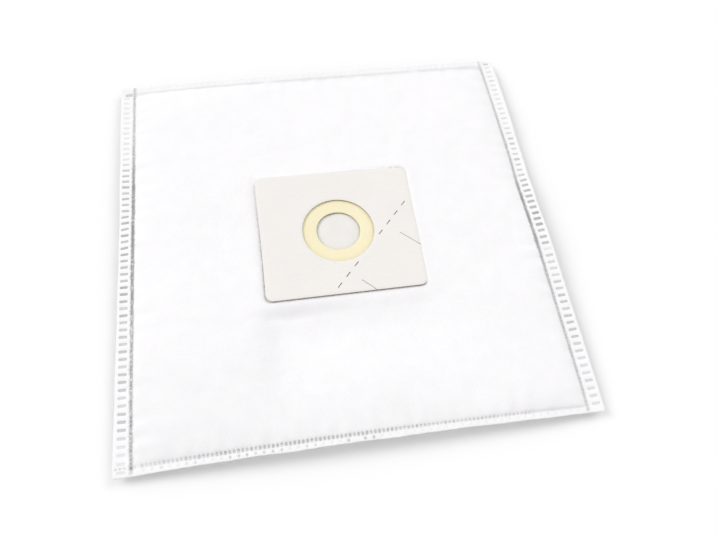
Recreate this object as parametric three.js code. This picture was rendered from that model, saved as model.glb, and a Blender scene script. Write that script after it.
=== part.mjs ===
// A flat fleece dust bag with a card collar and a rubber inlet seal.
// Millimetres, +Z up. The bag lies on its back panel, with the collar on top.
// The origin is at the middle of the bag, on the surface that it lies on.
// +X runs along the collar's longer side and +Y along its shorter side.

import * as THREE from 'three';
import { mergeVertices } from 'three/addons/utils/BufferGeometryUtils.js';

// ---- the bag ----
const BAG_W = 300;            // width over the weld margins, along X
const BAG_L = 300;            // length over the weld margins, along Y
const FLEECE = 0.8;           // thickness of one loose fleece panel
const WELD = 0.6;             // thickness of one panel where it is pressed in the seam
const SEAM_X = 139.3;         // inner weld line of the two long sides
const SEAM_NEAR = 145.1;      // inner weld line of the near end
const SEAM_FAR = 142.4;       // and of the far end, whose margin is wider
const MARGIN_Z = 3.2;         // underside of the weld margin above the table, at the bag's corners
const ARCH_SIDE = 3.2;        // how far the margin stands higher than that at the middle of a long side
const ARCH_NEAR = 4.5;        // and at the middle of the near end
const ARCH_FAR = 2;           // and at the middle of the far end
const GAP = 0.3;              // clearance kept between neighbouring pieces
const FLAT_W = 112;           // half width of the part of the back panel that lies flat
const STEPS_ROUND = 64;       // divisions round the panels

// ---- the collar ----
const CARD_W = 109.4;         // along X
const CARD_L = 96.8;          // along Y
const CARD_T = 1.2;
const CARD_CORNER_R = 5;
const CARD_X = 0.9;           // centre of the card on the bag
const CARD_Y = -5.4;
const CARD_TURN = -0.3 * Math.PI / 180; // the card is glued on very slightly askew
const CARD_HOLE_R = 24.7;
const HOLE_X = 0.6;           // centre of the card's and the rubber's hole
const HOLE_Y = -5.5;
const CARD_Z = 15.0;          // underside of the card

// ---- the perforation that sets off the lower right corner ----
const DASH_L = 5;
const DASH_W = 0.7;
const DASH_AT = [[48.9, 11.4], [42.3, 4.0], [35.7, -3.4], [29.1, -10.8],
  [9.2, -33.0], [2.6, -40.4], [-4.0, -47.8]];   // dash middles, on the bag
const SLIT_W = 0.7;
const SLITS = [[[42.5, -12.0], [54.5, -22.8]], [[11.0, -45.5], [19.3, -53.4]]]; // inner end, end near the card's edge

// ---- the rubber seal ----
const SEAL_HOLE_R = 15;
const SEAL_R = 32;
const SEAL_T = 0.7;
const FLEECE_HOLE_R = 21;     // hole in the front panel, under the seal

const fleeceUnderCard = CARD_Z - GAP;                       // top of the fleece where the card is glued on
const sealTop = CARD_Z - GAP;
const sealBottom = sealTop - SEAL_T;
const fleeceUnderSeal = sealBottom - GAP;                   // top of the fleece where it is pressed down by the seal
const backMargin = MARGIN_Z + FLEECE;                       // top of the back panel's weld margin
const frontMargin = backMargin + GAP;                       // underside of the front panel's weld margin

// Each row is a ring round a panel: its half width, and the heights of the outer and inner face there.
const frontRings = [
  [FLEECE_HOLE_R, fleeceUnderSeal, fleeceUnderSeal - FLEECE],
  [SEAL_R + 0.8, fleeceUnderSeal, fleeceUnderSeal - FLEECE],
  [SEAL_R + 2.2, fleeceUnderCard, fleeceUnderCard - FLEECE],
  [63, fleeceUnderCard, fleeceUnderCard - FLEECE],
  [90, 13.7, 13.7 - FLEECE],
  [FLAT_W, 12.4, 12.4 - FLEECE],
  [126, 11.0, 11.0 - FLEECE],
  [133.5, 9.3, 9.3 - FLEECE],
  [137.8, 7.2, 7.2 - FLEECE],
  [SEAM_X, frontMargin + WELD, frontMargin],
  [141.2, frontMargin + FLEECE, frontMargin],
  [BAG_W / 2, frontMargin + FLEECE, frontMargin],
];
const backRings = [
  [60, 0, FLEECE],
  [FLAT_W, 0, FLEECE],
  [122, 0.15, 0.15 + FLEECE],
  [130, 0.8, 0.8 + FLEECE],
  [135.5, 1.7, 1.7 + FLEECE],
  [138.4, 2.6, 2.6 + FLEECE],
  [SEAM_X, backMargin - WELD, backMargin],
  [141.2, MARGIN_Z, backMargin],
  [BAG_W / 2, MARGIN_Z, backMargin],
];

// Reach of a ring toward the near or far end, given its half width: the end seams lie nearer the cut edge than the side seams.
const HALF_WIDTHS = [0, FLAT_W, SEAM_X, 141.2, BAG_W / 2];
const REACH_NEAR = [0, FLAT_W, SEAM_NEAR, 146.2, BAG_L / 2];
const REACH_FAR = [0, FLAT_W, SEAM_FAR, 143.7, BAG_L / 2];
function reach(w, sy) {
  const to = (lengths) => {
    let i = 1;
    while (i < HALF_WIDTHS.length - 1 && w > HALF_WIDTHS[i]) i++;
    const t = (w - HALF_WIDTHS[i - 1]) / (HALF_WIDTHS[i] - HALF_WIDTHS[i - 1]);
    return lengths[i - 1] + t * (lengths[i] - lengths[i - 1]);
  };
  return sy * (sy < 0 ? to(REACH_NEAR) : to(REACH_FAR));
}

// How much of the margin's arch a ring takes: none where the bag is flat, all of it from the seam outward.
function archShare(rings, r) {
  const at = (w) => {
    let i = 1;
    while (i < rings.length - 1 && w > rings[i][0]) i++;
    const t = THREE.MathUtils.clamp((w - rings[i - 1][0]) / (rings[i][0] - rings[i - 1][0]), 0, 1);
    return rings[i - 1][2] + t * (rings[i][2] - rings[i - 1][2]);
  };
  if (r <= FLAT_W) return 0;
  if (r >= SEAM_X) return 1;
  return (at(r) - at(FLAT_W)) / (at(SEAM_X) - at(FLAT_W));
}

// A panel is turned from its ring section, then its rings are drawn out from circles, round the inlet, to rectangles at the seams,
// and the seams are bent up between the corners.
function panel(profile, rings, round) {
  const geometry = new THREE.LatheGeometry(profile.map(([r, z]) => new THREE.Vector2(r, z)), STEPS_ROUND);
  geometry.rotateX(Math.PI / 2);
  const at = geometry.attributes.position;
  for (let i = 0; i < at.count; i++) {
    const x = at.getX(i), y = at.getY(i), r = Math.hypot(x, y);
    if (r < 1e-6) continue;
    const turn = Math.atan2(y, x) / (Math.PI / 4);          // -4 to 4
    const side = Math.round(turn / 2);                       // which side of the rectangle
    const along = turn - side * 2;                           // -1 at one corner, 1 at the next
    const ax = [1, 0, -1, 0][(side + 4) % 4], ay = [0, 1, 0, -1][(side + 4) % 4];
    const sx = ax - ay * along, sy = ay + ax * along;        // on the unit square
    const k = THREE.MathUtils.smoothstep(r, round[0], round[1]);
    const px = THREE.MathUtils.lerp(x, sx * r, k) + HOLE_X * (1 - k);
    const py = THREE.MathUtils.lerp(y, reach(r, sy), k) + HOLE_Y * (1 - k);
    const arch = [ARCH_SIDE, ARCH_FAR, ARCH_SIDE, ARCH_NEAR][(side + 4) % 4] * (1 - along * along);
    at.setXYZ(i, px, py, at.getZ(i) + arch * archShare(rings, r));
  }
  return closed(geometry);
}

// Drops the shading data and joins the doubled points, so that the body is closed.
function closed(geometry) {
  geometry.deleteAttribute('normal');
  geometry.deleteAttribute('uv');
  const joined = mergeVertices(geometry, 1e-4);
  const index = joined.index.array, kept = [];
  for (let i = 0; i < index.length; i += 3) {
    const [a, b, c] = [index[i], index[i + 1], index[i + 2]];
    if (a !== b && b !== c && a !== c) kept.push(a, b, c);
  }
  joined.setIndex(kept);
  joined.computeVertexNormals();
  return joined;
}

// ---- front panel: from the inlet hole out over the top, and back along the inside ----
const frontProfile = [
  ...frontRings.map(([r, , inner]) => [r, inner]),
  ...frontRings.slice().reverse().map(([r, outer]) => [r, outer]),
];
frontProfile.push(frontProfile[0]);

// ---- back panel: from the axis out along the underside, and back along the inside ----
const backProfile = [
  [0, 0],
  ...backRings.map(([r, outer]) => [r, outer]),
  ...backRings.slice().reverse().map(([r, , inner]) => [r, inner]),
  [0, FLEECE],
];

// ---- collar plate: rounded card with its hole, perforation dashes and two slits open to its edges ----
function collarGeometry() {
  const x0 = CARD_X - CARD_W / 2, x1 = CARD_X + CARD_W / 2;
  const y0 = CARD_Y - CARD_L / 2, y1 = CARD_Y + CARD_L / 2;
  const r = CARD_CORNER_R;
  // A slit as four points: where its first side leaves the edge, its two inner corners, and where it comes back.
  const slit = ([[ix, iy], [ex, ey]], onRight) => {
    const d = new THREE.Vector2(ex - ix, ey - iy).normalize();
    const n = new THREE.Vector2(-d.y, d.x).multiplyScalar(SLIT_W / 2);
    const meet = (s) => {
      const px = ix + n.x * s, py = iy + n.y * s;
      const t = onRight ? (x1 - px) / d.x : (y0 - py) / d.y;
      return [px + d.x * t, py + d.y * t];
    };
    return [meet(-1), [ix - n.x, iy - n.y], [ix + n.x, iy + n.y], meet(1)];
  };
  const low = slit(SLITS[1], false), high = slit(SLITS[0], true);
  const shape = new THREE.Shape();
  shape.moveTo(x0 + r, y0);
  low.forEach(([x, y]) => shape.lineTo(x, y));
  shape.lineTo(x1 - r, y0);
  shape.absarc(x1 - r, y0 + r, r, -Math.PI / 2, 0, false);
  high.forEach(([x, y]) => shape.lineTo(x, y));
  shape.lineTo(x1, y1 - r);
  shape.absarc(x1 - r, y1 - r, r, 0, Math.PI / 2, false);
  shape.lineTo(x0 + r, y1);
  shape.absarc(x0 + r, y1 - r, r, Math.PI / 2, Math.PI, false);
  shape.lineTo(x0, y0 + r);
  shape.absarc(x0 + r, y0 + r, r, Math.PI, 1.5 * Math.PI, false);

  const hole = new THREE.Path();
  hole.absarc(HOLE_X, HOLE_Y, CARD_HOLE_R, 0, 2 * Math.PI, true);
  shape.holes.push(hole);

  const first = DASH_AT[0], last = DASH_AT[DASH_AT.length - 1];
  const d = new THREE.Vector2(last[0] - first[0], last[1] - first[1]).normalize();
  for (const [cx, cy] of DASH_AT) {
    const ux = d.x * DASH_L / 2, uy = d.y * DASH_L / 2, vx = -d.y * DASH_W / 2, vy = d.x * DASH_W / 2;
    const dash = new THREE.Path();
    dash.moveTo(cx - ux - vx, cy - uy - vy);
    dash.lineTo(cx - ux + vx, cy - uy + vy);
    dash.lineTo(cx + ux + vx, cy + uy + vy);
    dash.lineTo(cx + ux - vx, cy + uy - vy);
    dash.closePath();
    shape.holes.push(dash);
  }
  const geometry = new THREE.ExtrudeGeometry(shape, { depth: CARD_T, bevelEnabled: false, curveSegments: 24 });
  geometry.translate(-CARD_X, -CARD_Y, 0);
  geometry.rotateZ(CARD_TURN);
  geometry.translate(CARD_X, CARD_Y, CARD_Z);
  return closed(geometry);
}

// ---- rubber seal: a flat disc, its hole edge a little rounded ----
function sealGeometry() {
  const e = 0.2;
  const profile = [
    [SEAL_HOLE_R + e, sealBottom], [SEAL_R, sealBottom], [SEAL_R, sealTop],
    [SEAL_HOLE_R + e, sealTop], [SEAL_HOLE_R, sealTop - e], [SEAL_HOLE_R, sealBottom + e],
    [SEAL_HOLE_R + e, sealBottom],
  ];
  const geometry = new THREE.LatheGeometry(profile.map(([r, z]) => new THREE.Vector2(r, z)), STEPS_ROUND);
  geometry.rotateX(Math.PI / 2);
  geometry.translate(HOLE_X, HOLE_Y, 0);
  return closed(geometry);
}

function piece(name, geometry, color, roughness) {
  const mesh = new THREE.Mesh(geometry, new THREE.MeshStandardMaterial({ color, roughness, metalness: 0 }));
  mesh.name = name;
  return mesh;
}

const group = new THREE.Group();
group.add(piece('front_panel', panel(frontProfile, frontRings, [36, 63]), 0xfbfafb, 0.95));
group.add(piece('back_panel', panel(backProfile, backRings, [10, 60]), 0xf7f6f7, 0.95));
group.add(piece('collar_plate', collarGeometry(), 0xefebe6, 0.8));
group.add(piece('seal_membrane', sealGeometry(), 0xfaeec8, 0.45));

export default group;
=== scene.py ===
import math

import bpy
import numpy as np
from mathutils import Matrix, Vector
from mathutils.geometry import delaunay_2d_cdt


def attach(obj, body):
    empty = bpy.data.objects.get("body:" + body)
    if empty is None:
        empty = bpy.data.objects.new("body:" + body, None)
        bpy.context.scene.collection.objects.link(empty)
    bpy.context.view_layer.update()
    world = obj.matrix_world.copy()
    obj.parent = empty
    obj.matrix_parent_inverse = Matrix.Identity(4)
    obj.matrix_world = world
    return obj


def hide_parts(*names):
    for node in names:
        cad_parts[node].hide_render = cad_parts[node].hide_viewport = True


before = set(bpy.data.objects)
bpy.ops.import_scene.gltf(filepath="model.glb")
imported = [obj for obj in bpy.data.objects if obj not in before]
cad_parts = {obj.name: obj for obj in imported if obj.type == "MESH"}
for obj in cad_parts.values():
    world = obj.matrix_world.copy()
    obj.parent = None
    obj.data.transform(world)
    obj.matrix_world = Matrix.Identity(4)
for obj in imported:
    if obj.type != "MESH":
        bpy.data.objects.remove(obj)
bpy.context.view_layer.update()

# A flat fleece dust bag with a card collar and a cream rubber seal, lying on its back panel.
# Lengths are in millimetres until a mesh is written. +Z is up, and the collar's longer side runs along X.

MM = 0.001
rng = np.random.default_rng(20261)

# ------------------------------------------------------------------ sizes
HALF = 150.0          # half width of the bag over the weld margins
SX = 139.7            # inner weld line of the long sides, before the air in the bag pulls it inward
Y_NEAR, Y_FAR = -145.0, 140.8  # inner weld lines of the two ends
Z_CORNER = 4.5        # where the two panels meet in the weld margin, at the bag's corners
MARGIN_T = 0.55       # one panel in the weld margin
LOOSE_T = 0.8         # one panel where it is not pressed
MEET = 0.05           # half of the gap between the panels in the margin
PRESS = 0.38          # how deep a weld mark is pressed
CROWN = 14.85         # top of the fleece under the card

CARD_X, CARD_Y = 0.9, -5.4
CARD_W, CARD_L, CARD_T, CARD_R = 109.2, 96.8, 1.2, 5.0
CARD_TURN = math.radians(-0.2)
CARD_Z = 15.0
HOLE_X, HOLE_Y, HOLE_R = 0.6, -5.5, 24.7
SEAL_IN, SEAL_OUT, SEAL_T = 15.0, 32.0, 0.65
FLEECE_HOLE = 21.0
DASHES = [(48.9, 11.4), (42.3, 4.0), (35.9, -3.2), (29.3, -10.6), (9.2, -33.4), (2.6, -40.6), (-3.9, -47.8)]
DASH_ANGLE = math.atan2(7.4, 6.6)
SLITS = [((42.5, -12.0), (56.5, -24.6)), ((11.0, -45.5), (21.5, -55.5))]


# ------------------------------------------------------------------ small maths
def step(a, b, x):
    t = np.clip((np.asarray(x, float) - a) / (b - a), 0, 1)
    return t * t * (3 - 2 * t)


def bell(t, p=1.3):
    return np.clip(1 - np.asarray(t, float) ** 2, 0, 1) ** p


def ripple(x, y, wave, seed, n=14, angle=None, spread=math.pi):
    """A smooth random field of about unit height with waves of about the given length."""
    r = np.random.default_rng(seed)
    out = np.zeros(np.broadcast(x, y).shape)
    for _ in range(n):
        a = r.uniform(0, math.pi) if angle is None else angle + r.uniform(-spread, spread)
        length = wave * r.uniform(0.65, 1.6)
        out += np.sin(2 * math.pi * (x * math.cos(a) + y * math.sin(a)) / length + r.uniform(0, 6.283))
    return out / math.sqrt(n) * 1.2


def crease(x, y, points, width):
    """1 along a polyline, falling to 0 at its ends and beside it."""
    best = np.full(np.broadcast(x, y).shape, 1e9)
    total = sum(math.dist(a, b) for a, b in zip(points, points[1:]))
    along = np.zeros_like(best)
    run = 0.0
    for (ax, ay), (bx, by) in zip(points, points[1:]):
        length = math.dist((ax, ay), (bx, by))
        t = np.clip(((x - ax) * (bx - ax) + (y - ay) * (by - ay)) / length**2, 0, 1)
        d = np.hypot(x - ax - t * (bx - ax), y - ay - t * (by - ay))
        near = d < best
        best = np.where(near, d, best)
        along = np.where(near, (run + t * length) / total, along)
        run += length
    ends = np.sin(np.pi * np.clip(along, 0, 1)) ** 0.6
    return np.exp(-((best / width) ** 2)) * ends


# ------------------------------------------------------------------ the shape of the bag
def curve(blur, *points):
    """A smooth curve near the given (place, value) points."""
    xs, ys = [p[0] for p in points], [p[1] for p in points]

    def f(t):
        t = np.asarray(t, float)
        return sum(np.interp(t + o * blur, xs, ys) for o in (-1, -0.66, -0.33, 0, 0.33, 0.66, 1)) / 7

    return f


# how far the weld lines and the cut edges of the long sides are drawn inward by the air in the bag
pull_left = curve(14, (-150, 0.45), (-100, 0.35), (-50, 0.55), (0, 0.8), (45, 1.1), (100, 0.85), (140, 0.55), (150, 0.5))
pull_right = curve(8, (-150, 0.45), (-100, 0.85), (-50, 1.45), (-25, 1.9), (0, 2.4), (20, 2.7), (33, 1.6), (50, 1.2), (80, 1.4), (110, 1.5), (150, 1.5))
trim_left = curve(12, (-150, 0.1), (-100, 0.3), (-50, 0.9), (0, 1.4), (30, 1.7), (70, 1.2), (120, 0.7), (150, 0.4))
trim_right = curve(10, (-150, 0.0), (-100, 0.1), (-50, 1.0), (-20, 1.7), (0, 2.1), (20, 2.2), (40, 1.2), (60, 0.8), (100, 0.8), (150, 0.7))
# how far the weld margins arch up off the plane of the bag's corners
arch_left = curve(12, (-150, 0), (-100, 0.5), (-50, 1.2), (-10, 2.1), (20, 2.5), (60, 2.6), (85, 2.4), (110, 1.1), (150, 0))
arch_right = curve(7, (-150, 0), (-130, 0.5), (-100, 1.2), (-60, 2.8), (-40, 4.2), (-20, 5.0), (0, 4.9), (18, 4.1), (33, 2.2), (50, 2.0), (80, 2.1), (98, 2.0), (125, 1.5), (150, 0.6))


def arch_near(x):
    return 5.8 * bell(np.asarray(x, float) / 150, 1.05)


def arch_far(x):
    return 2.0 * bell(np.asarray(x, float) / 150, 0.8)


def near_line(x):
    x = np.asarray(x, float)
    return Y_NEAR - 0.4 * np.abs(x / 140) ** 4 - 0.3 * step(30, 70, x) - 0.35 * step(100, 140, x)


far_bow = curve(12, (-150, -0.2), (-130, -0.1), (-100, 0.4), (-50, 0.5), (50, 0.2), (100, 0.7), (130, 1.0), (150, 1.0))


def far_line(x):
    return Y_FAR + far_bow(x)


def seam_distance(x, y):
    """How far inside the side seams and inside the end seams, each 0 in the margin."""
    left, right = x + SX - pull_left(y), SX - pull_right(y) - x
    near, far = y - near_line(x), far_line(x) - y
    return np.clip(np.minimum(left, right), 0, None), np.clip(np.minimum(near, far), 0, None)


def meet(x, y):
    """The height at which the two panels meet in the margin, carried on inward."""
    xc, yc = np.clip(x, -SX, SX), np.clip(y, Y_NEAR, Y_FAR)
    u, v = (xc + SX) / (2 * SX), (yc - Y_NEAR) / (Y_FAR - Y_NEAR)
    lift = (1 - u) * arch_left(yc) + u * arch_right(yc) + (1 - v) * arch_near(xc) + v * arch_far(xc)
    out_left = step(141, 150, -x) * bell(y / 150)
    out_near = step(145.5, 151, -y) * bell(x / 150)
    droop = 0.8 * out_left + 0.3 * out_near
    edge = step(140, 150, np.maximum(np.abs(x), np.abs(y) * 0.99))
    wobble = 0.22 * edge * ripple(x, y, 38, 5)
    # the far right corner hangs down a little
    corner = 2.6 * step(136, 151, x) * step(137, 150, y)
    return Z_CORNER + lift - droop + wobble - corner


def rise(d):
    """How much of the way up to the crown the front panel is, at a distance inside a seam."""
    return 1 - np.exp(-(((np.asarray(d, float) + 0.05) / 8.5) ** 0.66)) + math.exp(-((0.05 / 8.5) ** 0.66)) - 1


def sink(d):
    """How much of the way down to the table the back panel is."""
    d = np.asarray(d, float)
    return 1 - (1 - step(18, 32, d)) * np.exp(-((d / 6.0) ** 0.9))


def card_frame(x, y):
    """Position on the card, measured along and across it from its middle."""
    c, s = math.cos(-CARD_TURN), math.sin(-CARD_TURN)
    dx, dy = x - CARD_X, y - CARD_Y
    return dx * c - dy * s, dx * s + dy * c


def card_warp(x, y):
    """The card is not quite flat: its far left corner stands a little higher and its far right corner lower."""
    u, v = card_frame(x, y)
    u, v = np.clip(u / 55, -1.1, 1.1), np.clip(v / 48.4, -1.1, 1.1)
    return -1.2 * u * (v + 1) / 2 + 0.25 * (1 - v * v) * (1 - u * u) - 0.15


def card_cut(u, v):
    """How far the card's outline is off a true rectangle: it was cut a touch off square."""
    right, low = np.clip((u / (CARD_W / 2) + 1) / 2, 0, 1), np.clip((1 - v / (CARD_L / 2)) / 2, 0, 1)
    inward = np.interp(low, (0, 0.25, 0.5, 0.75, 1.0), (0.10, 0.42, 0.95, 1.15, 0.95))
    return (1 - right) * inward - 0.9 * right * low**1.5, (0.10 - 0.56 * (1 - right) + 0.14 * right) * low


def card_outside(x, y):
    """Distance outside the card's outline, negative under it."""
    u, v = card_frame(x, y)
    du, dv = card_cut(u, v)
    u, v = u - du, v - dv
    qx, qy = np.abs(u) - (CARD_W / 2 - CARD_R), np.abs(v) - (CARD_L / 2 - CARD_R)
    return np.hypot(np.maximum(qx, 0), np.maximum(qy, 0)) + np.minimum(np.maximum(qx, qy), 0) - CARD_R


CREASES = [
    # points, width, depth
    ([(-62, -60.5), (-53, -63.5), (-40, -65.5), (-24, -66)], 3.2, 0.55),
    ([(-70, -70), (-30, -76), (20, -77), (60, -71)], 11, 0.55),
    ([(58, -58), (62, -82), (66, -104), (71, -134)], 3.4, 0.45),
    ([(-130, -59), (-96, -64), (-64, -67)], 3.4, 0.22),
    ([(-60, 62), (-18, 70), (38, 66)], 6, 0.20),
    ([(84, 20), (98, -20), (96, -62)], 6, 0.20),
    ([(-116, 96), (-92, 80), (-76, 58)], 4, 0.18),
    ([(100, 112), (88, 92), (66, 74)], 4, 0.18),
]


def front_top(x, y):
    """The outer face of the front panel, before its weld marks are pressed in."""
    x, y = np.asarray(x, float), np.asarray(y, float)
    dx, dy = seam_distance(x, y)
    d = np.minimum(dx, dy)
    m = meet(x, y) + MEET + MARGIN_T
    g = rise(dx) * rise(dy)
    out = card_outside(x, y)
    fall = 0.55 * step(0, 60, out)
    z = m + (CROWN - fall - m) * g / (rise(80) ** 2 * 0.985)
    inside = step(1.5, 16, d) * step(1.0, 14, out)
    z += inside * (0.30 * ripple(x, y, 78, 11) + 0.10 * ripple(x, y, 27, 12) + 0.035 * ripple(x, y, 11, 13))
    # small puckers that start at the welds
    near_side = np.exp(-dx / 8) * (1 - np.exp(-dx / 1.8)) * step(2, 12, dy)
    near_end = np.exp(-dy / 8) * (1 - np.exp(-dy / 1.8)) * step(2, 12, dx)
    z += 0.42 * near_side * ripple(x * 0.15, y, 13, 21, n=8, angle=math.pi / 2, spread=0.2)
    z += 0.42 * near_end * ripple(x, y * 0.15, 13, 22, n=8, angle=0, spread=0.2)
    for points, width, depth in CREASES:
        z -= depth * crease(x, y, points, width) * step(0.5, 4, out)
    # the fleece lies flat under the card, and falls away under its left edge and beside it
    under = 1 - step(-1.0, 3.0, out)
    ring = np.hypot(x - HOLE_X, y - HOLE_Y)
    u, v = card_frame(x, y)
    flat = CROWN + card_warp(x, y) - 0.9 * (1 - step(SEAL_OUT + 0.8, SEAL_OUT + 2.2, ring))
    flat -= 0.70 * step(-46, -55, u) + 0.22 * step(-43, -48.4, v)
    z = z * (1 - under) + flat * under
    beside = step(-3, 3, (np.abs(u) - CARD_W / 2) - (np.abs(v) - CARD_L / 2))    # 1 beside the card's short ends, 0 beside its long sides
    left, near = step(0, -40, u), step(0, -40, v)
    dip = beside * left * 0.35 + (1 - beside) * near * 0.22
    z -= dip * np.exp(-(((out - 1.8) / 2.4) ** 2)) * (1 - under * 0.4)
    # the soft fleece wells up against the card's far side and right end
    hug = beside * (1.22 - 1.17 * left) + (1 - beside) * (1.26 - 1.20 * near) - 0.40 * step(0.5, 1.2, -card_warp(x, y))
    z += hug * np.exp(-np.maximum(out, 0) / 9) * step(0.0, 0.20, out)
    # and falls off in a slack fold below the near side, deepest at its left
    slack = 1.2 + 3.2 * np.exp(-(((u + 34) / 30) ** 2))
    back_up = 1 - step(-CARD_L / 2 - 22, -CARD_L / 2 - 88, v)
    z -= slack * step(-CARD_L / 2 - 1.5, -CARD_L / 2 - 12, v) * back_up * (1 - step(46, 66, np.abs(u)))
    z -= 2.3 * step(-CARD_L / 2 - 1.5, -CARD_L / 2 - 27, v) * back_up * (1 - step(40, 76, np.abs(u - 4)))
    # between the marks the margin is puffed up a little
    margin = (d <= 0) * 1.0
    z += margin * 0.06 * ripple(x, y, 7, 31)
    return z


def front_inner(x, y):
    dx, dy = seam_distance(x, y)
    d = np.minimum(dx, dy)
    top = front_top(x, y)
    loose = top - MARGIN_T - (LOOSE_T - MARGIN_T) * step(0, 8, d)
    return np.where(d <= 0, np.minimum(meet(x, y) + MEET, top - 0.3), np.maximum(loose, meet(x, y) * (1 - step(0, 6, d)) + MEET * (1 - step(0, 6, d))))


def back_outer(x, y):
    """The outer face of the back panel, which looks down."""
    x, y = np.asarray(x, float), np.asarray(y, float)
    dx, dy = seam_distance(x, y)
    m = meet(x, y) - MEET - MARGIN_T
    z = m * (1 - sink(dx) * sink(dy))
    inside = step(6, 30, np.minimum(dx, dy))
    soft = 0.16 * ripple(x, y, 60, 41) + 0.06 * ripple(x, y, 22, 42)
    near_side = np.exp(-dx / 8) * (1 - np.exp(-dx / 1.8)) * step(2, 12, dy)
    near_end = np.exp(-dy / 8) * (1 - np.exp(-dy / 1.8)) * step(2, 12, dx)
    z += 0.35 * near_side * ripple(x * 0.15, y, 13, 51, n=8, angle=math.pi / 2, spread=0.2)
    z += 0.35 * near_end * ripple(x, y * 0.15, 13, 52, n=8, angle=0, spread=0.2)
    return np.maximum(z + inside * np.maximum(soft, 0), 0.0)


def back_inner(x, y):
    dx, dy = seam_distance(x, y)
    d = np.minimum(dx, dy)
    z = back_outer(x, y) + MARGIN_T + (LOOSE_T - MARGIN_T) * step(0, 8, d)
    ring = np.hypot(np.asarray(x) - HOLE_X, np.asarray(y) - HOLE_Y)
    z = z + 12.95 * np.exp(-((ring / 26) ** 6)) + 0.10 * np.exp(-((ring / 20) ** 2)) * ripple(x, y, 17, 61)
    return np.where(d <= 0, meet(x, y) - MEET, z)


# ------------------------------------------------------------------ the cut edges
def outline(gap=1.25):
    """The bag's cut outline, counter-clockwise, with slightly uneven scissor-like edges."""
    r = np.random.default_rng(7)

    def fray(s, seed):
        return 0.07 * ripple(s, s * 0, 9, seed, n=8, angle=0, spread=0.01) + 0.11 * ripple(s, s * 0, 47, seed + 1, n=6, angle=0, spread=0.01)

    n = int(2 * HALF / gap)
    t = np.linspace(-1, 1, n + 1)[:-1]
    y0, y1 = -150.0, 148.7
    xl, xr = (lambda y: -HALF + trim_left(y)), (lambda y: HALF - trim_right(y))
    near_x = xl(y0) + (t + 1) / 2 * (xr(y0) - xl(y0))
    far_x = xr(y1) + (t + 1) / 2 * (xl(y1) - xr(y1))
    up = y0 + (t + 1) / 2 * (y1 - y0)
    skew = np.interp(near_x, (-150, -138, -120, -104, 80, 115, 140), (-0.7, -0.5, -0.12, 0.1, 0.1, -0.2, 0))
    near = np.stack([near_x, y0 + 0.3 * bell(t, 0.9) + skew + fray(near_x, 71) * bell(t, 0.4)], 1)
    right = np.stack([xr(up) + fray(up, 73) * bell(t, 0.4), up + 0.9 * step(0, 1, t)], 1)
    far = np.stack([far_x, y1 + 0.2 * bell(t) + 0.9 * step(100, 138, far_x) + fray(far_x, 75) * bell(t, 0.4)], 1)
    down = up[::-1] + (up[1] - up[0])
    left = np.stack([xl(down) + fray(down, 77) * bell(t, 0.4), down], 1)
    loop = np.concatenate([near, right, far, left])
    # the corners are cut square, with the last point rounded off
    for corner in range(4):
        i = corner * n
        loop[i] = (loop[i - 1] + 2 * loop[i] + loop[(i + 1) % len(loop)]) / 4
    return loop


def offset(loop, by):
    """Moves a closed counter-clockwise loop inward by the given distance (outward for a clockwise one)."""
    before, after = np.roll(loop, 1, 0), np.roll(loop, -1, 0)
    a, b = loop - before, after - loop
    a /= np.linalg.norm(a, axis=1)[:, None] + 1e-12
    b /= np.linalg.norm(b, axis=1)[:, None] + 1e-12
    na, nb = np.stack([-a[:, 1], a[:, 0]], 1), np.stack([-b[:, 1], b[:, 0]], 1)
    n = na + nb
    n /= np.linalg.norm(n, axis=1)[:, None] + 1e-12
    stretch = np.clip(1 / np.maximum((n * na).sum(1), 0.35), 1, 1.6)
    return loop + n * (by * stretch)[:, None]


def circle(cx, cy, radius, n):
    t = np.linspace(0, 2 * math.pi, n, endpoint=False)
    return np.stack([cx + radius * np.cos(t), cy + radius * np.sin(t)], 1)


# ------------------------------------------------------------------ weld marks
def mark_shape(cx, cy, w, h, turn, corner):
    """A pressed mark: a rectangle with cut corners, counter-clockwise."""
    a, b, c = w / 2, h / 2, corner
    pts = [(a, -b + c), (a, b - c), (a - c, b), (-a + c, b), (-a, b - c), (-a, -b + c), (-a + c, -b), (a - c, -b)]
    co, si = math.cos(turn), math.sin(turn)
    return np.array([(cx + px * co - py * si, cy + px * si + py * co) for px, py in pts])


# how dark the ladder bars and the chains are, and how dark the rims between the chain marks are, which runs the chains
# together into one dark line; the extra darkness in the middle of the long sides is painted crevice shade, where the
# puffed panel shades the seam, laid on the real weld marks
bar_left = curve(4, (-150, 0.19), (-141, 0.20), (-136, 0.21), (-131, 0.24), (-127, 0.46), (-60, 0.52), (-30, 0.66), (5, 0.70), (40, 0.62), (68, 0.60), (75, 0.24), (120, 0.20), (150, 0.14))
bar_right = curve(6, (-150, 0.36), (-110, 0.38), (-98, 0.56), (-62, 0.56), (-52, 0.34), (-36, 0.52), (-28, 0.74), (0, 0.78), (18, 0.74), (27, 0.52), (66, 0.46), (74, 0.30), (150, 0.26))
chain_left = curve(8, (-150, 0.66), (-146, 0.95), (-138, 0.80), (-100, 0.82), (-60, 0.88), (-34, 0.98), (-28, 1.1), (50, 1.1), (75, 0.74), (110, 0.56), (137, 0.52), (142, 0.90), (145, 0.5), (150, 0.3))
chain_right = curve(8, (-150, 0.42), (-100, 0.56), (-40, 0.70), (-25, 0.95), (18, 0.95), (30, 0.62), (90, 0.50), (132, 0.42), (139, 0.66), (143, 0.60), (147, 0.12), (150, 0.05))
chain_near = curve(6, (-150, 0.30), (-141, 0.28), (-125, 0.24), (-112, 0.32), (-105, 0.48), (-60, 0.62), (5, 0.60), (40, 0.44), (62, 0.38), (94, 0.30), (106, 0.12), (150, 0.09))
left_rims_weld_and_shade = curve(10, (-150, 0.95), (-80, 1.02), (-50, 1.28), (80, 1.25), (150, 1.2))
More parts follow.
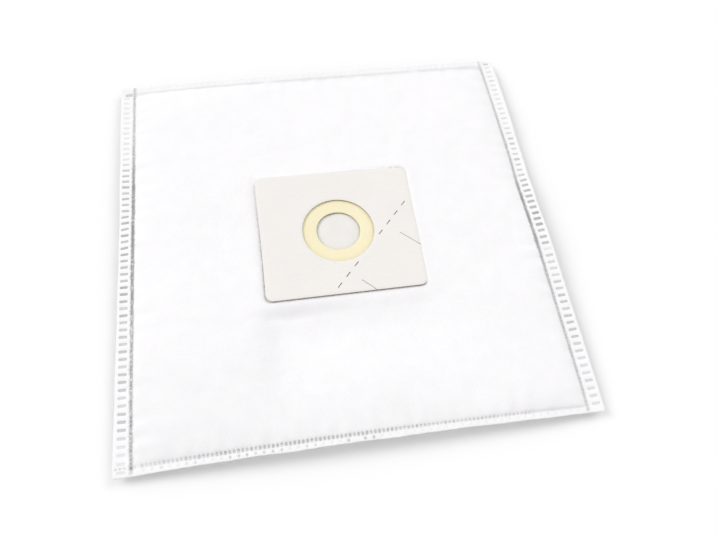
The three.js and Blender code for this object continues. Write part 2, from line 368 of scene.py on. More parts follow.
right_rims_weld_and_shade = curve(10, (-150, 0.85), (-70, 1.00), (-40, 1.25), (25, 1.25), (60, 1.2), (150, 1.2))
NEAR_BARS = {-122: 0.30, -107: 0.28, -102: 0.38, -82: 0.50, -77: 0.46, -72: 0.48, -67: 0.34, -62: 0.36, -57: 0.48, -52: 0.46, -37: 0.32, -32: 0.34, -12: 0.46, -7: 0.46, -2: 0.48, 3: 0.54}


def weld_marks(face):
    """(outline, rim width, strength, rim strength) of each mark. The two faces carry the same pattern, pressed by the same tool."""
    r = np.random.default_rng(91 if face == "front" else 92)
    made, boxes = [], []
    inside = offset(outline(), 0.30)

    def put(cx, cy, w, h, strength, rim=0.28, turn=0.0, corner=0.45, rim_weld_and_shade=0.0):
        shape = mark_shape(cx, cy, w, h, turn, corner)
        lo, hi = shape.min(0) - rim - 0.04, shape.max(0) + rim + 0.04
        for a, b in boxes:
            if (lo < b).all() and (hi > a).all():
                return
        if np.abs((lo, hi)).max() > 146:
            # nothing is pressed closer to the cut edge than this
            around = offset(shape, -rim)
            if not in_loop(around[:, 0], around[:, 1], inside).all():
                return
        boxes.append((lo, hi))
        made.append((shape, rim, float(strength), float(rim_weld_and_shade)))

    def wob(k):
        return r.normal() * k

    def bar(x, y, w, h, strength, turn=0.0):
        # a bar that the chain of the near end runs through is cut short there
        line = float(near_line(x))
        low, high = y - h / 2, y + h / 2
        if low < line + 1.1 and high > line + 1.1:
            low = line + 1.1
        elif low < line - 1.1 and high > line - 1.1:
            high = line - 1.1
        if high - low > 0.9 and not (low > line - 1.2 and high < line + 1.2):
            put(x, (low + high) / 2, w, high - low, strength, turn=turn)

    # ladder bars of the long sides
    for n in range(59):
        y = -147.8 + 5.0 * n
        x = -(SX - float(pull_left(y)) + 5.72)
        length = 4.9 - 0.7 * float(step(66, 90, y))
        if y < 139:
            lean = -0.05 - 0.10 * math.exp(-(((y - 58) / 16) ** 2)) + 0.10 * math.exp(-(((y - 8) / 14) ** 2))
            bar(x + wob(0.07), y + wob(0.08), length + wob(0.12), 1.56 + wob(0.07), 1.08 * bar_left(y) * (1 + wob(0.11)), lean + wob(0.03))
    for n in range(59):
        y = -144.8 + 5.01 * n
        x = SX - float(pull_right(y)) + 6.2 - 0.35 * float(step(-20, 30, y)) - 0.5 * math.exp(-(((y - 38) / 10) ** 2))
        length = 5.1 - 0.9 * float(step(27, 36, y))
        faint = 0.30 if abs(y + 34.6) < 2.4 else 1.0
        lean = 0.05 + 0.08 * math.exp(-(((y - 0) / 34) ** 2)) + 0.13 * math.exp(-(((y - 26) / 8) ** 2))
        if y < 146.5:
            strong = 1.9 if y > 144 else 1.0
            place = put if y < -140 else bar
            place(x + wob(0.07), y + wob(0.08), length + wob(0.12), 1.54 + 0.36 * math.exp(-((y / 32) ** 4)) + wob(0.08), 1.04 * strong * faint * bar_right(y) * (1 + wob(0.10)), turn=lean + wob(0.02))
    # chains of small marks along the seams; along the long sides their rims carry painted crevice shade, darkest in
    # the middle
    for n in range(119):
        y = -148.2 + 2.5 * n
        if y < 147.2:
            wide = 1.28 - 0.06 * float(step(-60, -35, y)) - 0.15 * float(step(66, 80, y))
            cross = 0.5 if y < -147 else 1.3 if y < -144.5 else 1.0      # darkest where the two chains cross
            put(-(SX - float(pull_left(y))) + wob(0.03), y, wide + wob(0.04), 1.72 + 0.14 * float(step(-60, -35, y)), cross * chain_left(y) * (1 + wob(0.05)), rim=0.24, turn=wob(0.03), corner=0.34, rim_weld_and_shade=left_rims_weld_and_shade(y))
        y += 0.5
        if y < 147.5:
            wide = 1.50 - 0.15 * float(step(60, 100, y))
            put(SX - float(pull_right(y)) + wob(0.03), y, wide + wob(0.04), 1.72, chain_right(y) * (1 + wob(0.05)), rim=0.24, turn=wob(0.03), corner=0.34, rim_weld_and_shade=right_rims_weld_and_shade(y))
    for n in range(118):
        x = -148.0 + 2.54 * n
        if abs(x) > 148.2:
            continue
        beside_seam = abs(x + 137.84) < 0.1
        if beside_seam:
            x = -136.95
        thin = float(step(92, 108, x))
        outer = float(x < -SX)
        short = 0.95 * thin + 0.65 * outer + 0.5 * float(step(0, 45, x)) * (1 - thin)
        put(x, float(near_line(x)) + wob(0.05), 0.8 if beside_seam else 1.32 + 0.4 * thin, 1.95 - short + wob(0.05), chain_near(x) * (1 + wob(0.12)), rim=0.24 - 0.08 * outer, turn=wob(0.06) * (1 - thin), corner=0.24 if beside_seam else 0.42, rim_weld_and_shade=0.25 + 0.85 * thin)
        # the weld of the far end is so light that it hardly shows
        faint = 0.05 if abs(x + 36) < 3 or abs(x - 82) < 3 else 0.14
        if abs(x) > SX:
            faint = 0.56 if x < 0 else 0.44
        if abs(x + 0.8) < 147:
            put(x + 0.8, float(far_line(x)) + wob(0.03), 1.72, 1.75 + wob(0.04), faint * (1 + wob(0.06)), rim=0.26, turn=wob(0.03), corner=0.30, rim_weld_and_shade=1.2)
    # what is left of the ladder bars where the ends are cut
    for n in range(55):
        x = -137.0 + 5.0 * n
        if abs(x) > 136.9:
            continue
        put(x + wob(0.15), -148.02 + wob(0.04), 1.30 + wob(0.10), 1.6, NEAR_BARS.get(int(x), 0.08 if x > 5 else 0.13) * (1 + wob(0.1)), turn=wob(0.06), corner=0.4)
        put(x + 1.2 + wob(0.25), 146.2 + wob(0.08), 1.6 + wob(0.15), 2.2, 0.035 * (1 + wob(0.3)), turn=wob(0.06), corner=0.4)
    return made


# ------------------------------------------------------------------ triangulation in plan
class Plan:
    """Points and constraint edges seen from above, with the kind of each point."""

    def __init__(self):
        self.xy, self.edges, self.count = [], [], 0

    def loop(self, pts):
        ids = np.arange(self.count, self.count + len(pts))
        self.xy.append(np.asarray(pts, float))
        self.edges += list(zip(ids.tolist(), np.roll(ids, -1).tolist()))
        self.count += len(pts)
        return ids

    def points(self, pts):
        ids = np.arange(self.count, self.count + len(pts))
        self.xy.append(np.asarray(pts, float))
        self.count += len(pts)
        return ids

    def triangles(self, keep):
        """Triangles whose middle passes keep(x, y), as indices of the given points."""
        xy = np.concatenate(self.xy)
        out = delaunay_2d_cdt([Vector(p) for p in xy.tolist()], self.edges, [], 0, 1e-6, True)
        verts, faces, origin = out[0], out[2], out[3]
        back = np.array([o[0] if len(o) else -1 for o in origin])
        tri = np.array([f for f in faces if len(f) == 3])
        tri = back[tri]
        tri = tri[(tri >= 0).all(1)]
        mid = xy[tri].mean(1)
        tri = tri[keep(mid[:, 0], mid[:, 1])]
        a, b, c = xy[tri[:, 0]], xy[tri[:, 1]], xy[tri[:, 2]]
        turn = (b[:, 0] - a[:, 0]) * (c[:, 1] - a[:, 1]) - (b[:, 1] - a[:, 1]) * (c[:, 0] - a[:, 0])
        tri[turn < 0] = tri[turn < 0][:, ::-1]
        return xy, tri


def in_loop(x, y, loop):
    """Whether points are inside a closed loop, by counting crossings."""
    inside = np.zeros(len(x), bool)
    for (ax, ay), (bx, by) in zip(loop, np.roll(loop, -1, 0)):
        if ay == by:
            continue
        crosses = (ay > y) != (by > y)
        inside ^= crosses & (x < (bx - ax) * (y - ay) / (by - ay) + ax)
    return inside


def scatter(spacing, keep, seed, half=151.0):
    """Jittered hexagonal points with a spacing of their own, kept where keep says so."""
    r = np.random.default_rng(seed)
    nx, ny = int(2 * half / spacing) + 2, int(2 * half / (spacing * 0.866)) + 2
    gx, gy = np.meshgrid(np.arange(nx), np.arange(ny))
    x = -half + (gx + 0.5 * (gy % 2)) * spacing
    y = -half + gy * spacing * 0.866
    x, y = x.ravel() + r.uniform(-0.22, 0.22, x.size) * spacing, y.ravel() + r.uniform(-0.22, 0.22, x.size) * spacing
    k = keep(x, y)
    return np.stack([x[k], y[k]], 1)


class Mask:
    """A fine grid of where points may not fall."""

    def __init__(self, cell=0.15, half=153.0):
        self.cell, self.half = cell, half
        self.n = int(2 * half / cell) + 1
        self.grid = np.zeros((self.n, self.n), bool)

    def box(self, lo, hi):
        i0, j0 = ((np.asarray(lo) + self.half) / self.cell).astype(int)
        i1, j1 = ((np.asarray(hi) + self.half) / self.cell).astype(int) + 1
        self.grid[max(i0, 0) : i1, max(j0, 0) : j1] = True

    def free(self, x, y):
        i = np.clip(((x + self.half) / self.cell).astype(int), 0, self.n - 1)
        j = np.clip(((y + self.half) / self.cell).astype(int), 0, self.n - 1)
        return ~self.grid[i, j]


def write_mesh(name, verts, tris, layers, sharp=40):
    mesh = bpy.data.meshes.new(name)
    verts = np.asarray(verts, float) * MM
    tris = np.asarray(tris, np.int32)
    mesh.vertices.add(len(verts))
    mesh.vertices.foreach_set("co", verts.astype(np.float32).ravel())
    mesh.loops.add(tris.size)
    mesh.loops.foreach_set("vertex_index", tris.ravel())
    mesh.polygons.add(len(tris))
    mesh.polygons.foreach_set("loop_start", np.arange(0, tris.size, 3, dtype=np.int32))
    mesh.update(calc_edges=True)
    mesh.validate()
    for key, values in layers.items():
        attr = mesh.attributes.new(key, "FLOAT", "POINT")
        attr.data.foreach_set("value", np.asarray(values, np.float32))
    mesh.shade_smooth()
    if sharp:
        mesh.set_sharp_from_angle(angle=math.radians(sharp))
    obj = bpy.data.objects.new(name, mesh)
    bpy.context.scene.collection.objects.link(obj)
    return obj


def strip(a, b):
    """Triangles between two closed rings of the same length; a is walked forward, b lies above or outside it."""
    n = len(a)
    i = np.arange(n)
    j = (i + 1) % n
    return np.concatenate([np.stack([a[i], a[j], b[j]], 1), np.stack([a[i], b[j], b[i]], 1)])


def fleece_panel(name, face):
    """One fleece panel as a closed thin body. Its outer face carries the weld marks; the front one has the inlet hole.
    """
    outer_z = front_top if face == "front" else back_outer
    inner_z = front_inner if face == "front" else back_inner
    into = -1.0 if face == "front" else 1.0        # which way the marks are pressed
    marks = weld_marks(face)
    edge = outline()
    rim = offset(edge, 0.22)
    hole = circle(HOLE_X, HOLE_Y, FLEECE_HOLE, 96)
    hole_rim = circle(HOLE_X, HOLE_Y, FLEECE_HOLE + 0.25, 96)

    plan = Plan()
    rim_ids = plan.loop(rim)
    hole_ids = plan.loop(hole_rim[::-1]) if face == "front" else None
    mask = Mask()
    press_and_shade, z_off = [], []
    floors, rims = [], []
    for shape, width, strength, rim_weld_and_shade in marks:
        around = offset(shape, -width)
        floors.append((plan.loop(shape), strength, rim_weld_and_shade))
        rims.append((plan.loop(around), 0.72 * rim_weld_and_shade * strength))
        mask.box(shape.min(0) - width - 0.3, shape.max(0) + width + 0.3)
        if shape[:, 0].ptp() > 3 if hasattr(shape, "ptp") else (shape[:, 0].max() - shape[:, 0].min()) > 3:
            # a bar also gets points along its floor, so that it isn't quite flat
            cx, cy = shape.mean(0)
            plan.points([(cx - 1.2, cy), (cx, cy + 0.1), (cx + 1.2, cy)])
            floors.append((np.arange(plan.count - 3, plan.count), strength * 0.96, 0))

    folds = []
    if face == "front":
        for away, height in ((0.018, 0), (0.045, 1)):
            fold = offset(card_outline(slits=False), -away)
            folds.append((plan.loop(fold), height))
            for px, py in fold:
                mask.box((px - 0.75, py - 0.75), (px + 0.75, py + 0.75))

    def clear(x, y, room):
        ok = mask.free(x, y)
        k = np.flatnonzero(ok)
        near_edge = np.maximum(np.abs(x[k]), np.abs(y[k])) > 146.5
        kk = k[near_edge]
        if len(kk):
            # keep off the cut edge
            d = np.full(len(kk), 1e9)
            for px, py in rim:
                d = np.minimum(d, (x[kk] - px) ** 2 + (y[kk] - py) ** 2)
            ok[kk] &= (d > (room * 0.62) ** 2) & in_loop(x[kk], y[kk], rim)
        if face == "front":
            ok &= np.hypot(x - HOLE_X, y - HOLE_Y) > FLEECE_HOLE + 0.7
        return ok

    def zone(x, y):
        """0 in the margin and along the seams, 1 beside the card, 2 elsewhere, 3 under the card."""
        dx, dy = seam_distance(x, y)
        d = np.minimum(dx, dy)
        out = card_outside(x, y)
        z = np.full(len(x), 2)
        if face == "front":
            z[(out > -2.5) & (out < 12)] = 1
            z[out <= -2.5] = 3
        z[d < 13] = 0
        return z

    fine, card, mid, coarse = 1.12, 1.35, 2.1, 3.0
    if face == "back":
        mid = 2.6
    for k, spacing in ((0, fine), (1, card), (2, mid), (3, coarse)):
        pts = scatter(spacing, lambda x, y: (zone(x, y) == k) & clear(x, y, spacing), 100 + k)
        if len(pts):
            plan.points(pts)

    def keep(x, y):
        ok = np.ones(len(x), bool)
        k = np.flatnonzero(np.maximum(np.abs(x), np.abs(y)) > 145)
        ok[k] = in_loop(x[k], y[k], rim)
        if face == "front":
            ok &= np.hypot(x - HOLE_X, y - HOLE_Y) > FLEECE_HOLE + 0.237
        return ok

    xy, tri = plan.triangles(keep)
    z = outer_z(xy[:, 0], xy[:, 1])
    # painted shade: the far seam is darkened as a broad soft band of painted shade over the faint real weld, with two
    # short gaps; a fainter tail of painted shade runs inward from it toward the right, and the margin just outside it
    # is slightly darker
    gaps = 1 - 0.65 * np.exp(-(((xy[:, 0] + 36) / 4) ** 2)) - 0.65 * np.exp(-(((xy[:, 0] - 82) / 4) ** 2))
    off_line = xy[:, 1] - far_line(xy[:, 0])
    toward_right = step(-100, 10, xy[:, 0])
    width = np.where(off_line < -0.2, 2.1 + 1.2 * toward_right, 2.3)
    press_and_shade = (0.31 + 0.06 * toward_right) * gaps * np.exp(-(((off_line + 0.2) / width) ** 2))
    press_and_shade += 0.10 * toward_right * np.exp(-np.abs(off_line) / 7) * (off_line < 0)
    press_and_shade *= np.abs(xy[:, 0]) < SX
    press_and_shade = np.maximum(press_and_shade, 0.07 * step(-1, 2, off_line) * (1 - step(5, 7, off_line)))
    if face == "front":
        # painted shade: the front face is greyed a little in the near left quarter and along the near seam
        px, py = xy[:, 0], xy[:, 1]
        thin = 0.045 * (1 - step(-90, -10, px)) * step(-70, -100, py)
        thin = np.maximum(thin, 0.045 * (1 - step(20, 80, px)) * step(-98, -128, py))
        press_and_shade = np.maximum(press_and_shade, thin * (py > near_line(px)) * (px > -SX))
    press_and_shade[: len(rim)] *= 0.3
    for ids, strength, rim_weld_and_shade in floors:
        z[ids] += into * PRESS * min(1.0, 0.45 + strength)
        press_and_shade[ids] = strength
    for ids, rim_weld_and_shade in rims:
        z[ids] += into * 0.07
        press_and_shade[ids] = np.maximum(press_and_shade[ids], rim_weld_and_shade)
    for ids, height in folds:
        # the crease along the card's foot, and the top of the fleece that wells up beside it
        if height == 0:
            z[ids] = np.minimum(z[ids], CROWN + card_warp(xy[ids, 0], xy[ids, 1]) + 0.03)
        else:
            z[ids] = outer_z(*(xy[ids] + (xy[ids] - xy[folds[0][0]]) * 8.0).T)
    z[rim_ids] += into * 0.02
    if face == "back":
        z = np.maximum(z, 0.0)

    # the inner face, coarser, with the same outline
    inner = Plan()
    in_edge = inner.loop(edge)
    in_hole = inner.loop(hole[::-1]) if face == "front" else None

    def inner_clear(spacing):
        def f(x, y):
            ok = np.ones(len(x), bool)
            k = np.flatnonzero(np.maximum(np.abs(x), np.abs(y)) > 145)
            d = np.full(len(k), 1e9)
            for px, py in edge:
                d = np.minimum(d, (x[k] - px) ** 2 + (y[k] - py) ** 2)
            ok[k] = (d > (spacing * 0.6) ** 2) & in_loop(x[k], y[k], edge)
            if face == "front":
                ok &= np.hypot(x - HOLE_X, y - HOLE_Y) > FLEECE_HOLE + 1.5
            dx, dy = seam_distance(x, y)
            near = np.minimum(dx, dy) < 14
            ring = (np.hypot(x - HOLE_X, y - HOLE_Y) < 45) if face == "back" else np.zeros(len(x), bool)
            return ok & ((near | ring) if spacing < 3 else ~(near | ring))
        return f

    inner.points(scatter(2.0, inner_clear(2.0), 201))
    inner.points(scatter(4.0, inner_clear(4.0), 202))

    def keep_inner(x, y):
        ok = np.ones(len(x), bool)
        k = np.flatnonzero(np.maximum(np.abs(x), np.abs(y)) > 145)
        ok[k] = in_loop(x[k], y[k], edge)
        if face == "front":
            ok &= np.hypot(x - HOLE_X, y - HOLE_Y) > FLEECE_HOLE - 0.013
        return ok

    ixy, itri = inner.triangles(keep_inner)
    iz = inner_z(ixy[:, 0], ixy[:, 1])

    verts = [np.column_stack([xy, z]), np.column_stack([ixy, iz])]
    base = len(xy)
    total = base + len(ixy)
    tris = []
    layers = [press_and_shade, np.zeros(len(ixy))]
    if face == "front":
        tris += [tri, itri[:, ::-1] + base]
    else:
        tris += [tri[:, ::-1], itri + base]

    def wall(inner_ids, outer_ids, loop, shrink):
        """Joins the inner face to the outer face round a loop, through a ring that rounds the outer edge off."""
        nonlocal total
        ring = np.arange(total, total + len(loop))
        total += len(loop)
        zz = outer_z(loop[:, 0], loop[:, 1]) + into * shrink
        low = iz[inner_ids - base]
        if face == "front":
            zz = np.maximum(zz, low + 0.08)
        else:
            zz = np.minimum(zz, low - 0.08)
        verts.append(np.column_stack([loop, zz]))
        layers.append(np.zeros(len(loop)))
        a = strip(inner_ids, ring)
        b = strip(ring, outer_ids)
        if face == "back":
            a, b = a[:, ::-1], b[:, ::-1]
        tris.append(a)
        tris.append(b)

    wall(in_edge + base, rim_ids, edge, 0.2)
    if face == "front":
        wall(in_hole + base, hole_ids, hole[::-1], 0.2)
    verts, tris = np.concatenate(verts), np.concatenate(tris)
    used = np.zeros(len(verts), bool)
    used[tris.ravel()] = True
    renumber = np.cumsum(used) - 1
    lining_and_shade = np.zeros(len(verts))
    lining_and_shade[base : base + len(ixy)] = 1
    return write_mesh(name, verts[used], renumber[tris], {"press_and_shade": np.concatenate(layers)[used], "lining_and_shade": lining_and_shade[used]}, sharp=72)


# ------------------------------------------------------------------ the card
def card_outline(slits=True):
    """The card's outline with the two slits cut in from its edges, counter-clockwise, with fine steps."""
    a, b, r = CARD_W / 2, CARD_L / 2, CARD_R
    pts = []
    for cx, cy, start in ((a - r, -b + r, -90), (a - r, b - r, 0), (-a + r, b - r, 90), (-a + r, -b + r, 180)):
        for k in range(13):
            t = math.radians(start + 90 * k / 12)
            pts.append((cx + r * math.cos(t), cy + r * math.sin(t)))
    dense = []
    for p, q in zip(pts, pts[1:] + pts[:1]):
        n = max(1, int(math.dist(p, q) / 2.0))
        dense += [(p[0] + (q[0] - p[0]) * k / n, p[1] + (q[1] - p[1]) * k / n) for k in range(n)]
    loop = np.array(dense)
    loop = loop + np.stack(card_cut(loop[:, 0], loop[:, 1]), 1)
    c, s = math.cos(CARD_TURN), math.sin(CARD_TURN)
    loop = np.stack([CARD_X + loop[:, 0] * c - loop[:, 1] * s, CARD_Y + loop[:, 0] * s + loop[:, 1] * c], 1)
    if not slits:
        return loop
    half = 0.16
    for start, end in SLITS:
        start, end = np.array(start), np.array(end)
        along = (end - start) / np.linalg.norm(end - start)
        side = np.array([-along[1], along[0]])
        rel = loop - start
        ahead, across = rel @ along, rel @ side
        near = (ahead > 0) & (np.abs(across) < 6)
        # the edge runs from one side of the slit to the other: find the segment that crosses its line
        for i in np.flatnonzero(near):
            j = (i + 1) % len(loop)
            if near[j] and across[i] * across[j] <= 0 and across[i] != across[j]:
                break
        t0 = across[i] / (across[i] - across[j])
        meet_at = loop[i] + (loop[j] - loop[i]) * t0
        edge_dir = (loop[j] - loop[i]) / np.linalg.norm(loop[j] - loop[i])
        push = half / abs(edge_dir @ side)
        sign = 1 if edge_dir @ side > 0 else -1
        first, last = meet_at - edge_dir * push, meet_at + edge_dir * push
        depth = np.linalg.norm(meet_at - start)
        n = 5
        back = [first - along * depth * k / n for k in range(n)] + [start - side * half * sign]
        forth = [start + side * half * sign] + [last - along * depth * (n - 1 - k) / n for k in range(n)]
        cut = np.array(back + forth)
        ids = np.arange(len(loop))
        far_enough = np.linalg.norm(loop - meet_at, axis=1) > 1.1
        left = loop[: i + 1][far_enough[: i + 1]]
        right = loop[i + 1 :][far_enough[i + 1 :]]
        loop = np.concatenate([left, cut, right])
    return loop


def card_piece(name):
    outer = card_outline()
    hole = circle(HOLE_X, HOLE_Y, HOLE_R, 128)[::-1]
    loops = [(outer, 1)] + [(hole, 1)]
    for n, (x, y) in enumerate(DASHES):
        shape = mark_shape(x, y, 4.5, 0.60, DASH_ANGLE, 0.2)
        loops.append((shape[::-1], 0))
    verts, tris, layers, total = [], [], [], 0
    top, bottom = Plan(), Plan()
    records = []
    for loop, big in loops:
        bevel = 0.20 if big else 0.10
        records.append((loop, offset(loop, bevel), offset(loop, 0.12), top, big))
    ids_top = [top.loop(r[1]) for r in records]
    ids_bottom = [bottom.loop(r[2]) for r in records]

    def keep_with(which):
        outer_loop = offset(records[0][which], 0.002)      # leaves out slivers along the straight edges
        holes = [r[which] for r in records[1:]]

        def keep(x, y):
            ok = in_loop(x, y, outer_loop)
            for h in holes:
                ok &= ~in_loop(x, y, h)
            return ok
        return keep

    def free(spacing, which):
        loops_here = np.concatenate([r[which] for r in records])
        test = keep_with(which)

        def f(x, y):
            ok = test(x, y)
            k = np.flatnonzero(ok)
            d = np.full(len(k), 1e9)
            for px, py in loops_here:
                d = np.minimum(d, (x[k] - px) ** 2 + (y[k] - py) ** 2)
            ok[k] = d > (spacing * 0.6) ** 2
            return ok
        return f

    top.points(scatter(2.4, free(2.4, 1), 301, half=62))
    bottom.points(scatter(4.0, free(4.0, 2), 302, half=62))
    txy, ttri = top.triangles(keep_with(1))
    bxy, btri = bottom.triangles(keep_with(2))

    def lift(xy):
        return card_warp(xy[:, 0], xy[:, 1])

    tz = CARD_Z + CARD_T + lift(txy)
    bz = CARD_Z + lift(bxy)
    verts += [np.column_stack([txy, tz]), np.column_stack([bxy, bz])]
    tris += [ttri, btri[:, ::-1] + len(txy)]
    layers += [np.zeros(len(txy)), np.zeros(len(bxy))]
    total = len(txy) + len(bxy)
    for (loop, t_loop, b_loop, _, big), tid, bid in zip(records, ids_top, ids_bottom):
        n = len(loop)
        # the cut face bulges out a touch half way, where the knife crushed the board
        rings = []
        for frac, out, bare in ((0.10, 0.0, 1), (0.45, -0.015 if big else 0.0, 1), (0.80, 0.0, 1), (0.90, 0.0, 0)):
            ring = np.arange(total, total + n)
            total += n
            p = offset(loop, out) if out else loop
            verts.append(np.column_stack([p, CARD_Z + CARD_T * frac + lift(p)]))
            layers.append(np.full(n, float(bare)))
            rings.append(ring)
        rings.append(tid)
        tris.append(strip(bid + len(txy), rings[0]))
        tris += [strip(p, q) for p, q in zip(rings, rings[1:])]
    verts, tris = np.concatenate(verts), np.concatenate(tris)
    used = np.zeros(len(verts), bool)
    used[tris.ravel()] = True
    renumber = np.cumsum(used) - 1
    return write_mesh(name, verts[used], renumber[tris], {"core": np.concatenate(layers)[used]}, sharp=38)


def seal_piece(name):
    """The rubber ring, turned as a profile with rounded rims, a faint dish and a few soft ripples."""
    r0, r1, t = SEAL_IN, SEAL_OUT, SEAL_T
    profile = []
    for k in range(7):
        a = math.pi * (0.5 + k / 6)
        profile.append((r0 + t / 2 + t / 2 * math.cos(a) * 0.9, t / 2 + t / 2 * math.sin(a)))
    lower = [(r, 0.0) for r in np.linspace(r0 + t, r1 - t, 14)]
    outer = []
    for k in range(7):
        a = -math.pi / 2 + math.pi * k / 6
        outer.append((r1 - t / 2 + t / 2 * math.cos(a), t / 2 + t / 2 * math.sin(a)))
    upper = [(r, t) for r in np.linspace(r1 - t, r0 + t, 18)]
    profile = profile + lower[1:-1] + outer + upper[1:-1]
    n = 144
    ang = np.linspace(0, 2 * math.pi, n, endpoint=False)
    rr = np.array([p[0] for p in profile])
    zz = np.array([p[1] for p in profile])
    R, A = np.meshgrid(rr, ang)
    Z = np.broadcast_to(zz, R.shape).copy()
    wob = 0.06 * np.sin(3 * A + 0.4) + 0.04 * np.sin(5 * A + 2.0)
    near_hole = 1 - step(r0, r0 + 9, R)
    R = R + wob * near_hole
    x, y = HOLE_X + R * np.cos(A), HOLE_Y + R * np.sin(A)
    dish = 0.26 * (1 - step(HOLE_R - 3.2, HOLE_R - 0.4, R)) - 0.30 * near_hole ** 1.5 + 0.05 * near_hole * np.sin(4 * A + 1.1)
    z = CARD_Z - 0.06 - t + Z + card_warp(x, y) + dish
    verts = np.column_stack([x.ravel(), y.ravel(), z.ravel()])
    m = len(profile)
    i, k = np.meshgrid(np.arange(n), np.arange(m), indexing="ij")
    i2, k2 = (i + 1) % n, (k + 1) % m
    a, b, c, d = i * m + k, i2 * m + k, i2 * m + k2, i * m + k2
    tris = np.concatenate([np.stack([a, b, c], -1).reshape(-1, 3), np.stack([a, c, d], -1).reshape(-1, 3)])
    return write_mesh(name, verts, tris, {}, sharp=0)


# ------------------------------------------------------------------ materials
class Nodes:
    """A material's node tree, with short calls for the nodes used here."""

    def __init__(self, name):
        self.material = bpy.data.materials.new(name)
        self.material.use_nodes = True
        self.tree = self.material.node_tree
        self.tree.nodes.clear()
        self.out = self.tree.nodes.new("ShaderNodeOutputMaterial")
        self.shader = self.tree.nodes.new("ShaderNodeBsdfPrincipled")
        self.tree.links.new(self.shader.outputs[0], self.out.inputs["Surface"])
        self.place = self.tree.nodes.new("ShaderNodeTexCoord").outputs["Object"]

    def put(self, node, socket, value):
        if hasattr(value, "links"):
            self.tree.links.new(value, node.inputs[socket])
        else:
            node.inputs[socket].default_value = value

    def set(self, socket, value):
        self.put(self.shader, socket, value)

    def scaled(self, scale, turn=0.0):
        n = self.tree.nodes.new("ShaderNodeMapping")
        n.inputs["Scale"].default_value = scale
        n.inputs["Rotation"].default_value = (0, 0, turn)
        self.tree.links.new(self.place, n.inputs["Vector"])
        return n.outputs[0]

    def noise(self, vector, scale=1.0, detail=2.0, rough=0.5, distortion=0.0):
        n = self.tree.nodes.new("ShaderNodeTexNoise")
        self.tree.links.new(vector, n.inputs["Vector"])
        n.inputs["Scale"].default_value = scale
        n.inputs["Detail"].default_value = detail
        n.inputs["Roughness"].default_value = rough
        n.inputs["Distortion"].default_value = distortion
        return n.outputs["Fac"]

    def math(self, kind, a, b=0.0, c=0.0):
        n = self.tree.nodes.new("ShaderNodeMath")
        n.operation = kind
        for k, v in enumerate((a, b, c)):
            self.put(n, k, v)
        return n.outputs[0]

    def remap(self, value, lo, hi, to_lo=0.0, to_hi=1.0, smooth=False):
        n = self.tree.nodes.new("ShaderNodeMapRange")
        if smooth:
            n.interpolation_type = "SMOOTHSTEP"
        self.put(n, "Value", value)
        for key, v in (("From Min", lo), ("From Max", hi), ("To Min", to_lo), ("To Max", to_hi)):
            n.inputs[key].default_value = v
        return n.outputs[0]

    def mix(self, fac, a, b):
        n = self.tree.nodes.new("ShaderNodeMix")
        n.data_type = "RGBA"
        self.put(n, 0, fac)
        self.put(n, 6, a if hasattr(a, "links") else (*a, 1))
        self.put(n, 7, b if hasattr(b, "links") else (*b, 1))
        return n.outputs[2]

    def attribute(self, name):
        n = self.tree.nodes.new("ShaderNodeAttribute")
        n.attribute_name = name
        return n.outputs["Fac"]

    def bump(self, height, distance, strength=1.0):
        n = self.tree.nodes.new("ShaderNodeBump")
        n.inputs["Strength"].default_value = strength
        n.inputs["Distance"].default_value = distance
        self.tree.links.new(height, n.inputs["Height"])
        self.tree.links.new(n.outputs[0], self.shader.inputs["Normal"])


